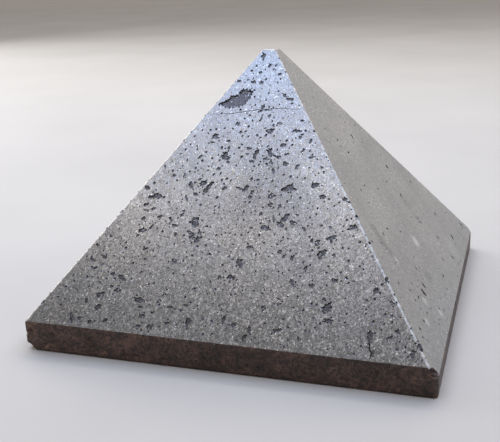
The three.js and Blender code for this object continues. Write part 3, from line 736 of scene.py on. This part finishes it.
# Chips in the band take the sawn sides' finish, so they share its dark red-brown, which is partly a painted
# reflection.
BAND_REACH, BAND_TOP = 0.5, 2.6
beside = np.abs(face_centre.reshape(-1, 3)[:, :2]).max(axis=1) > HALF - BAND_REACH
in_band = beside & (face_centre.reshape(-1, 3)[:, 2] < BAND_TOP)
kind[in_band & (kind == BROKEN)] = SAWN
place = np.empty(3 * len(mesh.vertices), np.float32)
mesh.vertices.foreach_get("co", place)
mesh.vertices.foreach_set("co", place * MM)
mesh.update()
print("faces lapped, sawn, worn, broken:", np.bincount(kind, minlength=4))

# %% [markdown]
# ## Four finishes of hematite
# Hematite is an iron oxide that shines like a metal where it is lapped, so the lapped and worn faces are
# metallic with a dull grey of their own. Raw ore inside a hollow is metallic too, only darker and rougher
# to the eye. Where the stone is sawn, its dust scatters light like a dark red-brown earth, and that brown
# is made darker as a painted reflection of a dark brown floor in shade. Lapping leaves each ore grain at
# its own slight angle, which the eye sees as a sugary glitter. A picture could carry that glitter, but
# cells worked out from the object's own place need no unwrapping and run over every edge.

# %% Colours and one helper for nodes
def linear(hex_colour):
    """An sRGB hex colour as linear light with full alpha."""
    value = np.array([int(hex_colour[i:i + 2], 16) for i in (1, 3, 5)]) / 255
    light = np.where(value <= 0.04045, value / 12.92, ((value + 0.055) / 1.055) ** 2.4)
    return (*light, 1.0)


def node(tree, kind, inputs, ramp=(), **settings):
    """Adds a node with its settings and colour stops, and sets or links each input by name or number."""
    made = tree.nodes.new("ShaderNode" + kind)
    for name, value in settings.items():
        setattr(made, name, value)
    for stop, (position, colour) in enumerate(ramp):
        stops = made.color_ramp.elements
        here = stops[stop] if stop < len(stops) else stops.new(position)
        here.position, here.color = position, linear(colour)
    for name, value in inputs.items():
        if isinstance(value, bpy.types.NodeSocket):
            tree.links.new(value, made.inputs[name])
        else:
            made.inputs[name].default_value = value
    return made.outputs


def new_material(name):
    """An empty material, its node tree, and the place in millimetres read from Object coordinates."""
    made = bpy.data.materials.new(name)
    made.use_nodes = True
    made.node_tree.nodes.clear()
    here = node(made.node_tree, "TexCoord", {})["Object"]
    in_mm = node(made.node_tree, "VectorMath", {0: here, "Scale": 1 / MM}, operation="SCALE")
    return made, made.node_tree, in_mm["Vector"]


def surface_finish(tree, inputs):
    """Ends a material with one Principled shader that has these inputs."""
    shader = node(tree, "BsdfPrincipled", inputs)
    node(tree, "OutputMaterial", {"Surface": shader["BSDF"]})


# %% Lapped hematite
# Ground on a lap with loose grit, then rubbed. To the eye it is a steel-grey satin metal with glittering
# grains 0.1 to 0.2 mm wide, which glitter most near the foot.
GRAIN = 0.19
FINE_GRAIN = 0.1
CLOUD = 7.0
FOOT_GLITTER, SLOPE_GLITTER = 0.1, 0.053
GLITTER_FROM, GLITTER_TO = 2.0, 9.0
# Places rubbed lighter or darker: surface, along the foot, up the slope, radius, gain. The first is the
# dull smear on the front, the next three are a streak on the right slope, the rest its flecks and patches.
RUBBED = [
    (0, 1.2, 14.5, 6.5, 0.74),
    (1, -9.9, 12.0, 1.1, 0.66), (1, -10.1, 10.8, 1.2, 0.62), (1, -10.3, 9.6, 1.1, 0.66),
    (1, -1.8, 7.2, 1.1, 1.9), (1, 4.0, 10.0, 1.6, 0.8), (1, 3.8, 8.1, 1.2, 0.76),
    (1, -5.4, 4.3, 1.2, 0.72), (1, 8.2, 2.2, 2.4, 1.25), (1, -10.1, 8.4, 0.6, 1.6),
    (1, -10.8, 3.8, 0.7, 1.7), (1, -9.2, 1.6, 0.7, 1.7), (1, -13.8, 2.9, 0.7, 1.6),
]
lapped_hematite, tree, at = new_material("hematite_lapped_satin")
grain = node(tree, "TexVoronoi", {"Vector": at, "Scale": 1 / GRAIN})["Color"]
fine = node(tree, "TexVoronoi", {"Vector": at, "Scale": 1 / FINE_GRAIN})["Color"]
cloud = node(tree, "TexNoise", {"Vector": at, "Scale": 1 / CLOUD, "Detail": 4.0, "Roughness": 0.6})["Fac"]
fine_shade = node(tree, "SeparateColor", {"Color": fine})["Red"]
GREYS = [(0.0, "#7E8084"), (0.9, "#9B9DA0"), (0.965, "#A0A2A5"), (0.99, "#CACCCE")]
grey = node(tree, "ValToRGB", {"Fac": fine_shade}, GREYS)["Color"]
cloudy = {"Value": cloud, "From Min": 0.3, "From Max": 0.7}
dusk = node(tree, "MapRange", {**cloudy, "To Min": 0.9, "To Max": 1.1})["Result"]
for surface, u, v, radius, gain in RUBBED:
    spot = tuple(on_surface(surface, np.array([u, v]), np.array(0.0)))
    away = node(tree, "VectorMath", {0: at, 1: spot}, operation="DISTANCE")["Value"]
    fade = {"Value": away, "From Max": radius, "To Min": gain, "To Max": 1.0}
    patch = node(tree, "MapRange", fade, interpolation_type="SMOOTHSTEP")["Result"]
    dusk = node(tree, "Math", {0: dusk, 1: patch}, operation="MULTIPLY")["Value"]
colour = node(tree, "VectorMath", {0: grey, "Scale": dusk}, operation="SCALE")["Vector"]
tilt = node(tree, "VectorMath", {0: grain, 1: fine}, operation="ADD")["Vector"]
tilt = node(tree, "VectorMath", {0: tilt, 1: (1.0, 1.0, 1.0)}, operation="SUBTRACT")["Vector"]
rise = node(tree, "SeparateXYZ", {"Vector": at})["Z"]
climb = {"Value": rise, "From Min": GLITTER_FROM, "From Max": GLITTER_TO}
glitter = node(tree, "MapRange", {**climb, "To Min": FOOT_GLITTER, "To Max": SLOPE_GLITTER})["Result"]
tilt = node(tree, "VectorMath", {0: tilt, "Scale": glitter}, operation="SCALE")["Vector"]
straight = node(tree, "NewGeometry", {})["Normal"]
tilted = node(tree, "VectorMath", {0: straight, 1: tilt}, operation="ADD")["Vector"]
tilted = node(tree, "VectorMath", {0: tilted}, operation="NORMALIZE")["Vector"]
rough = node(tree, "MapRange", {**cloudy, "To Min": 0.34, "To Max": 0.25})["Result"]
surface_finish(tree, {"Base Color": colour, "Metallic": 1.0, "Roughness": rough, "Normal": tilted})
print("material:", lapped_hematite.name)

# %% Sawn hematite
# Cut by a blade and left. To the eye it is a dark red-brown stone with little shine, dark and light grains,
# and fine level saw lines. Its red-brown is partly a painted reflection of a dark brown floor in shade, and
# painted light makes it lighter towards the front left corner.
SAW_LINE = 0.35
SAWN_GRAIN = 0.22
PATCH = 1.6
# Painted light: the band is lighter near the front left corner and darker beyond this reach.
PAINTED_LIGHT_CORNER, PAINTED_LIGHT_REACH = (-20.0, -20.0, 1.5), 25.0
sawn_hematite, tree, at = new_material("hematite_sawn_matt_painted_reflection_and_light")
grain = node(tree, "TexVoronoi", {"Vector": at, "Scale": 1 / SAWN_GRAIN})["Color"]
patch = node(tree, "TexNoise", {"Vector": at, "Scale": 1 / PATCH, "Detail": 6.0, "Roughness": 0.7})["Fac"]
rise = node(tree, "SeparateXYZ", {"Vector": at})["Z"]
level_lines = {"W": rise, "Scale": 1 / SAW_LINE, "Detail": 2.0}
line = node(tree, "TexNoise", level_lines, noise_dimensions="1D")["Fac"]
shade = node(tree, "SeparateColor", {"Color": grain})["Red"]
# A dark red-brown: the colour of hematite dust, made darker as a painted reflection of a dark brown floor
# in shade.
BROWNS_AND_PAINTED_REFLECTION = [(0.3, "#2B1C15"), (0.5, "#3D2B23"), (0.7, "#543E34")]
brown_and_reflection = node(tree, "ValToRGB", {"Fac": patch}, BROWNS_AND_PAINTED_REFLECTION)["Color"]
fleck_and_painted_light = node(tree, "MapRange", {"Value": shade, "To Min": 0.3, "To Max": 1.75})["Result"]
# Painted light, lighter near the corner and darker far from it, multiplies the grain flecks.
away = node(tree, "VectorMath", {0: at, 1: PAINTED_LIGHT_CORNER}, operation="DISTANCE")["Value"]
painted_light_fade = {"Value": away, "From Max": PAINTED_LIGHT_REACH, "To Min": 1.3, "To Max": 0.88}
painted_light_gain = node(tree, "MapRange", painted_light_fade)["Result"]
fleck_and_painted_light = node(tree, "Math", {0: fleck_and_painted_light, 1: painted_light_gain}, operation="MULTIPLY")["Value"]
brown_and_reflection = node(tree, "VectorMath", {0: brown_and_reflection, "Scale": fleck_and_painted_light}, operation="SCALE")["Vector"]
height = node(tree, "Math", {0: line, 1: shade}, operation="ADD")["Value"]
bump = node(tree, "Bump", {"Height": height, "Strength": 0.5, "Distance": 0.05 * MM})["Normal"]
surface_finish(tree, {"Base Color": brown_and_reflection, "Roughness": 0.5, "IOR": 1.5, "Normal": bump})
print("material:", sawn_hematite.name)

# %% Worn hematite
# Rubbed by handling. To the eye these are the brightest lines on the stone, a pale steel along every ridge.
WEAR = 0.5
worn_hematite, tree, at = new_material("hematite_worn_bright")
wear = node(tree, "TexNoise", {"Vector": at, "Scale": 1 / WEAR, "Detail": 4.0, "Roughness": 0.7})["Fac"]
STEELS = [(0.35, "#7A7978"), (0.6, "#A5A29D")]
steel = node(tree, "ValToRGB", {"Fac": wear}, STEELS)["Color"]
rough = node(tree, "MapRange", {"Value": wear, "To Min": 0.5, "To Max": 0.28})["Result"]
surface_finish(tree, {"Base Color": steel, "Metallic": 1.0, "Roughness": rough})
print("material:", worn_hematite.name)

# %% Broken hematite
# Never touched by the lap. To the eye it is a dark grey metal with a few grains that flash.
RAW_GRAIN = 0.12
broken_hematite, tree, at = new_material("hematite_broken_raw")
grain = node(tree, "TexVoronoi", {"Vector": at, "Scale": 1 / RAW_GRAIN})["Color"]
shade = node(tree, "SeparateColor", {"Color": grain})["Red"]
DARKS = [(0.0, "#4A4A4E"), (0.92, "#626267"), (0.975, "#A4A6AC")]
dark = node(tree, "ValToRGB", {"Fac": shade}, DARKS)["Color"]
bump = node(tree, "Bump", {"Height": shade, "Strength": 0.2, "Distance": 0.04 * MM})["Normal"]
surface_finish(tree, {"Base Color": dark, "Metallic": 1.0, "Roughness": 0.36, "Normal": bump})
print("material:", broken_hematite.name)

# %% The piece that stands for the solid
stone.name = "hematite_pyramid"
mesh.name = "hematite_pyramid"
mesh.materials.clear()
for finish in (lapped_hematite, sawn_hematite, worn_hematite, broken_hematite):
    mesh.materials.append(finish)
mesh.polygons.foreach_set("material_index", kind.astype(np.int32))
mesh.polygons.foreach_set("use_smooth", np.zeros(len(kind), bool))
mesh.update()
mesh.calc_loop_triangles()
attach(stone, "root")
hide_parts("pyramid")
print("piece:", stone.name, "triangles:", len(mesh.loop_triangles))

# %% [markdown]
# ## Floor and light
# A satin metal shows its surroundings more than its own colour, so the light is what shapes it. One large
# cool softbox hangs overhead, and the front slope mirrors it near the tip. A long warm strip in front of
# it shows in the middle of the slope, and the foot looks past both into a dim room, which gives the fall
# from bright to dark. A softbox on the left draws the bright line on the left ridge, and one behind
# throws the shadow forward.

# %% Floor
# Smooth matt paper: even and pale, so that it shows only the shadow.
FLOOR_HALF = 1.5
PAPER_CLOUD = 40
square = FLOOR_HALF * np.array([[-1, -1, 0], [1, -1, 0], [1, 1, 0], [-1, 1, 0]])
floor = mesh_object("studio_floor", square, np.array([[0, 1, 2, 3]]))
paper, tree, at = new_material("studio_paper_pale")
cloud = node(tree, "TexNoise", {"Vector": at, "Scale": 1 / PAPER_CLOUD, "Detail": 3.0})["Fac"]
PALES = [(0.3, "#A29E98"), (0.7, "#A9A59F")]
pale = node(tree, "ValToRGB", {"Fac": cloud}, PALES)["Color"]
surface_finish(tree, {"Base Color": pale, "Roughness": 0.8})
floor.data.materials.append(paper)
print("floor side, m:", 2 * FLOOR_HALF)

# %% Softboxes
# Name, colour, radiance, width and depth in metres, place, the place that it is turned to.
SOFTBOXES = [
    ("softbox_overhead", "#BDD5FF", 2.6, (0.35, 0.265), (0.025, 0.0175, 0.25), (0.025, 0.0175, 0.0)),
    ("softbox_front", "#FFF0E0", 2.6, (0.4, 0.04), (0.0, -0.14, 0.25), (0.0, -0.14, 0.0)),
    ("softbox_back", "#FFF8F0", 4.0, (0.3, 0.12), (0.0, 0.19, 0.24), (0.0, 0.0, 0.0)),
    ("softbox_left", "#F6F9FF", 3.4, (0.24, 0.24), (-0.234, 0.129, 0.141), (0.0, 0.0, 0.011)),
]
for name, colour, radiance, (width, depth), spot, target in SOFTBOXES:
    lamp = bpy.data.lights.new(name, "AREA")
    lamp.shape = "RECTANGLE"
    lamp.size, lamp.size_y = width, depth
    lamp.color = linear(colour)[:3]
    lamp.energy = radiance * np.pi * width * depth
    softbox = bpy.data.objects.new(name, lamp)
    softbox.location = spot
    backwards = Vector(spot) - Vector(target)
    softbox.rotation_euler = backwards.to_track_quat("Z", "Y").to_euler()
    bpy.context.scene.collection.objects.link(softbox)
    print(name, "power, W:", round(lamp.energy, 3))

# %% The room around
ROOM_FRONT, ROOM_BACK = 0.33, 1.05
FADE_FROM, FADE_TO = -0.7, 0.8
ROOM_COLOUR = "#F4EEE9"
room = bpy.data.worlds.new("studio_room")
room.use_nodes = True
tree = room.node_tree
tree.nodes.clear()
toward = node(tree, "TexCoord", {})["Generated"]
depth = node(tree, "SeparateXYZ", {"Vector": toward})["Y"]
fade = {"Value": depth, "From Min": FADE_FROM, "From Max": FADE_TO}
glow = node(tree, "MapRange", {**fade, "To Min": ROOM_FRONT, "To Max": ROOM_BACK})["Result"]
background = node(tree, "Background", {"Color": linear(ROOM_COLOUR), "Strength": glow})["Background"]
node(tree, "OutputWorld", {"Surface": background})
bpy.context.scene.world = room
print("room from", ROOM_FRONT, "in front to", ROOM_BACK, "behind")

# %% [markdown]
# ## Camera
# The camera's place was found by fitting the corners of the foot, the tip and the ridges to their places
# in the picture. It looks down a little on the front slope from the right, and is held almost level.

# %% Camera at the picture's angle
AZIMUTH, ELEVATION, ROLL = np.radians([18.23, 17.49, -1.89])
DISTANCE = 93.45
AIM_RIGHT, AIM_UP, AIM_HEIGHT = -2.717, -1.471, 10.0
SENSOR_WIDTH, FOCAL_LENGTH = 36.0, 61.19
away_level = np.array([np.sin(AZIMUTH), -np.cos(AZIMUTH), 0.0])
back = np.cos(ELEVATION) * away_level + np.sin(ELEVATION) * UP
level_right = np.array([np.cos(AZIMUTH), np.sin(AZIMUTH), 0.0])
level_above = np.cross(back, level_right)
right = np.cos(ROLL) * level_right + np.sin(ROLL) * level_above
above = np.cos(ROLL) * level_above - np.sin(ROLL) * level_right
eye = AIM_HEIGHT * UP + AIM_RIGHT * right + AIM_UP * above + DISTANCE * back
view = np.eye(4)
view[:3] = np.stack([right, above, back, eye * MM], 1)
lens = bpy.data.cameras.new("camera")
lens.sensor_width = SENSOR_WIDTH
lens.lens = FOCAL_LENGTH
lens.clip_start = 0.005
camera = bpy.data.objects.new("camera", lens)
camera.matrix_world = Matrix(view)
bpy.context.scene.collection.objects.link(camera)
bpy.context.scene.camera = camera
bpy.context.scene.view_settings.view_transform = "Standard"
print("camera at, mm:", eye.round(1))
